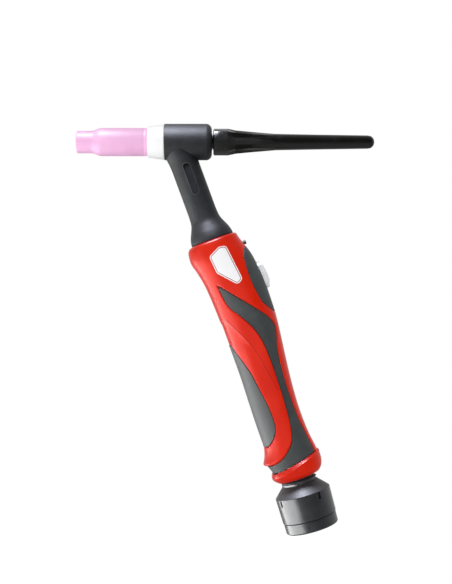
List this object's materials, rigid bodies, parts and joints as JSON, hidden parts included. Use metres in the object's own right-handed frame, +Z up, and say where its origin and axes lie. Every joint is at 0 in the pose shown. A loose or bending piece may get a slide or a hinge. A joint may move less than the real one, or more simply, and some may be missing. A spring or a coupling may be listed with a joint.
{
  "type": "TIG welding torch",
  "caption": "Ergonomic TIG welding torch with a ceramic gas nozzle, a long back cap, a trigger button in a lofted two-colour handle and a ball-jointed cable outlet.",
  "frame": {"origin": "the middle of the hand grip, on the handle's axis", "axes": "+Z up as the torch is held, the gas nozzle along -X, the back cap and the trigger side towards +X, +Y away from the near handle half; Y = 0 is the handle's parting plane"},
  "size_m": [0.1975, 0.037, 0.2725],
  "materials": {
    "pink_ceramic": "matt alumina",
    "white_seal": "smooth heat-resistant white seal",
    "copper": "machined copper",
    "tungsten": "ground tungsten",
    "brass": "machined",
    "black_moulding": "satin moulded",
    "black_gloss": "gloss",
    "black_rubber": "satin",
    "red_shell": "satin gloss",
    "charcoal_soft": "soft-touch satin",
    "light_grey_plastic": "satin",
    "black_plastic": "satin",
    "white_plastic": "slippery bearing plastic",
    "charcoal_plastic": "satin",
    "steel": "plain",
    "bright_steel": "polished spring steel"
  },
  "bodies": {
    "handle": {"gas_nozzle": "pink_ceramic", "cup_gasket": "white_seal", "collet_body": "copper", "head_core": "brass", "torch_body": "black_moulding", "power_tube": "copper", "water_tube": "copper", "gas_tube": "copper", "power_fitting": "brass", "hose_tails": "brass", "handle_shell_near": "red_shell", "handle_shell_far": "red_shell", "side_inlay_near": "charcoal_soft", "side_inlay_far": "charcoal_soft", "front_grip_pad": "charcoal_soft", "trigger_pad": "charcoal_soft", "micro_switch": "black_plastic", "switch_carrier": "black_plastic", "pad_catch": "black_plastic", "shell_screws": "steel", "end_ring": "red_shell"},
    "trigger": {"trigger_button": "light_grey_plastic", "switch_plunger": "red_shell"},
    "collet": {"collet": "copper"},
    "back_cap": {"back_cap": "black_gloss", "cap_o_ring": "black_rubber"},
    "electrode": {"tungsten_electrode": "tungsten"},
    "swivel_liner": {"swivel_liner": "white_plastic"},
    "cable_outlet": {"swivel_ball": "black_plastic", "swivel_clip": "bright_steel", "swivel_collar": "charcoal_plastic"},
    "cable_ring": {"cable_clamp_ring": "charcoal_plastic"}
  },
  "joints": [
    {"name": "trigger_press", "type": "slide", "parent": "handle", "child": "trigger", "axis": [-0.9385, 0, -0.3453], "range_m": [0, 0.0015], "stiffness_N_per_m": 1500, "springref_m": -0.0005},
    {"name": "back_cap_travel", "type": "slide", "parent": "handle", "child": "collet", "axis": [1, 0, 0], "range_m": [0, 0.004]},
    {"name": "back_cap_turn", "type": "hinge", "parent": "collet", "child": "back_cap", "pos_m": [-0.0518, 0, 0.14077], "axis": [1, 0, 0], "range_deg": [0, 1440]},
    {"name": "electrode_feed", "type": "slide", "parent": "collet", "child": "electrode", "axis": [-1, 0, 0], "range_m": [-0.02, 0.025]},
    {"name": "swivel_turn", "type": "hinge", "parent": "handle", "child": "swivel_liner", "pos_m": [0.02555, 0, -0.06945], "axis": [-0.3453, 0, 0.9385], "range_deg": [-180, 180]},
    {"name": "swivel_tilt", "type": "hinge", "parent": "swivel_liner", "child": "cable_outlet", "pos_m": [0.02555, 0, -0.06945], "axis": [0, 1, 0], "range_deg": [-12.2, 3.8]},
    {"name": "cable_turn", "type": "hinge", "parent": "cable_outlet", "child": "cable_ring", "pos_m": [0.02555, 0, -0.06945], "axis": [-0.2756, 0, 0.9613], "range_deg": [-180, 180]}
  ],
  "couplings": [
    {"joint": "back_cap_turn", "follows": "back_cap_travel", "rad_per_m": 6283.2}
  ]
}
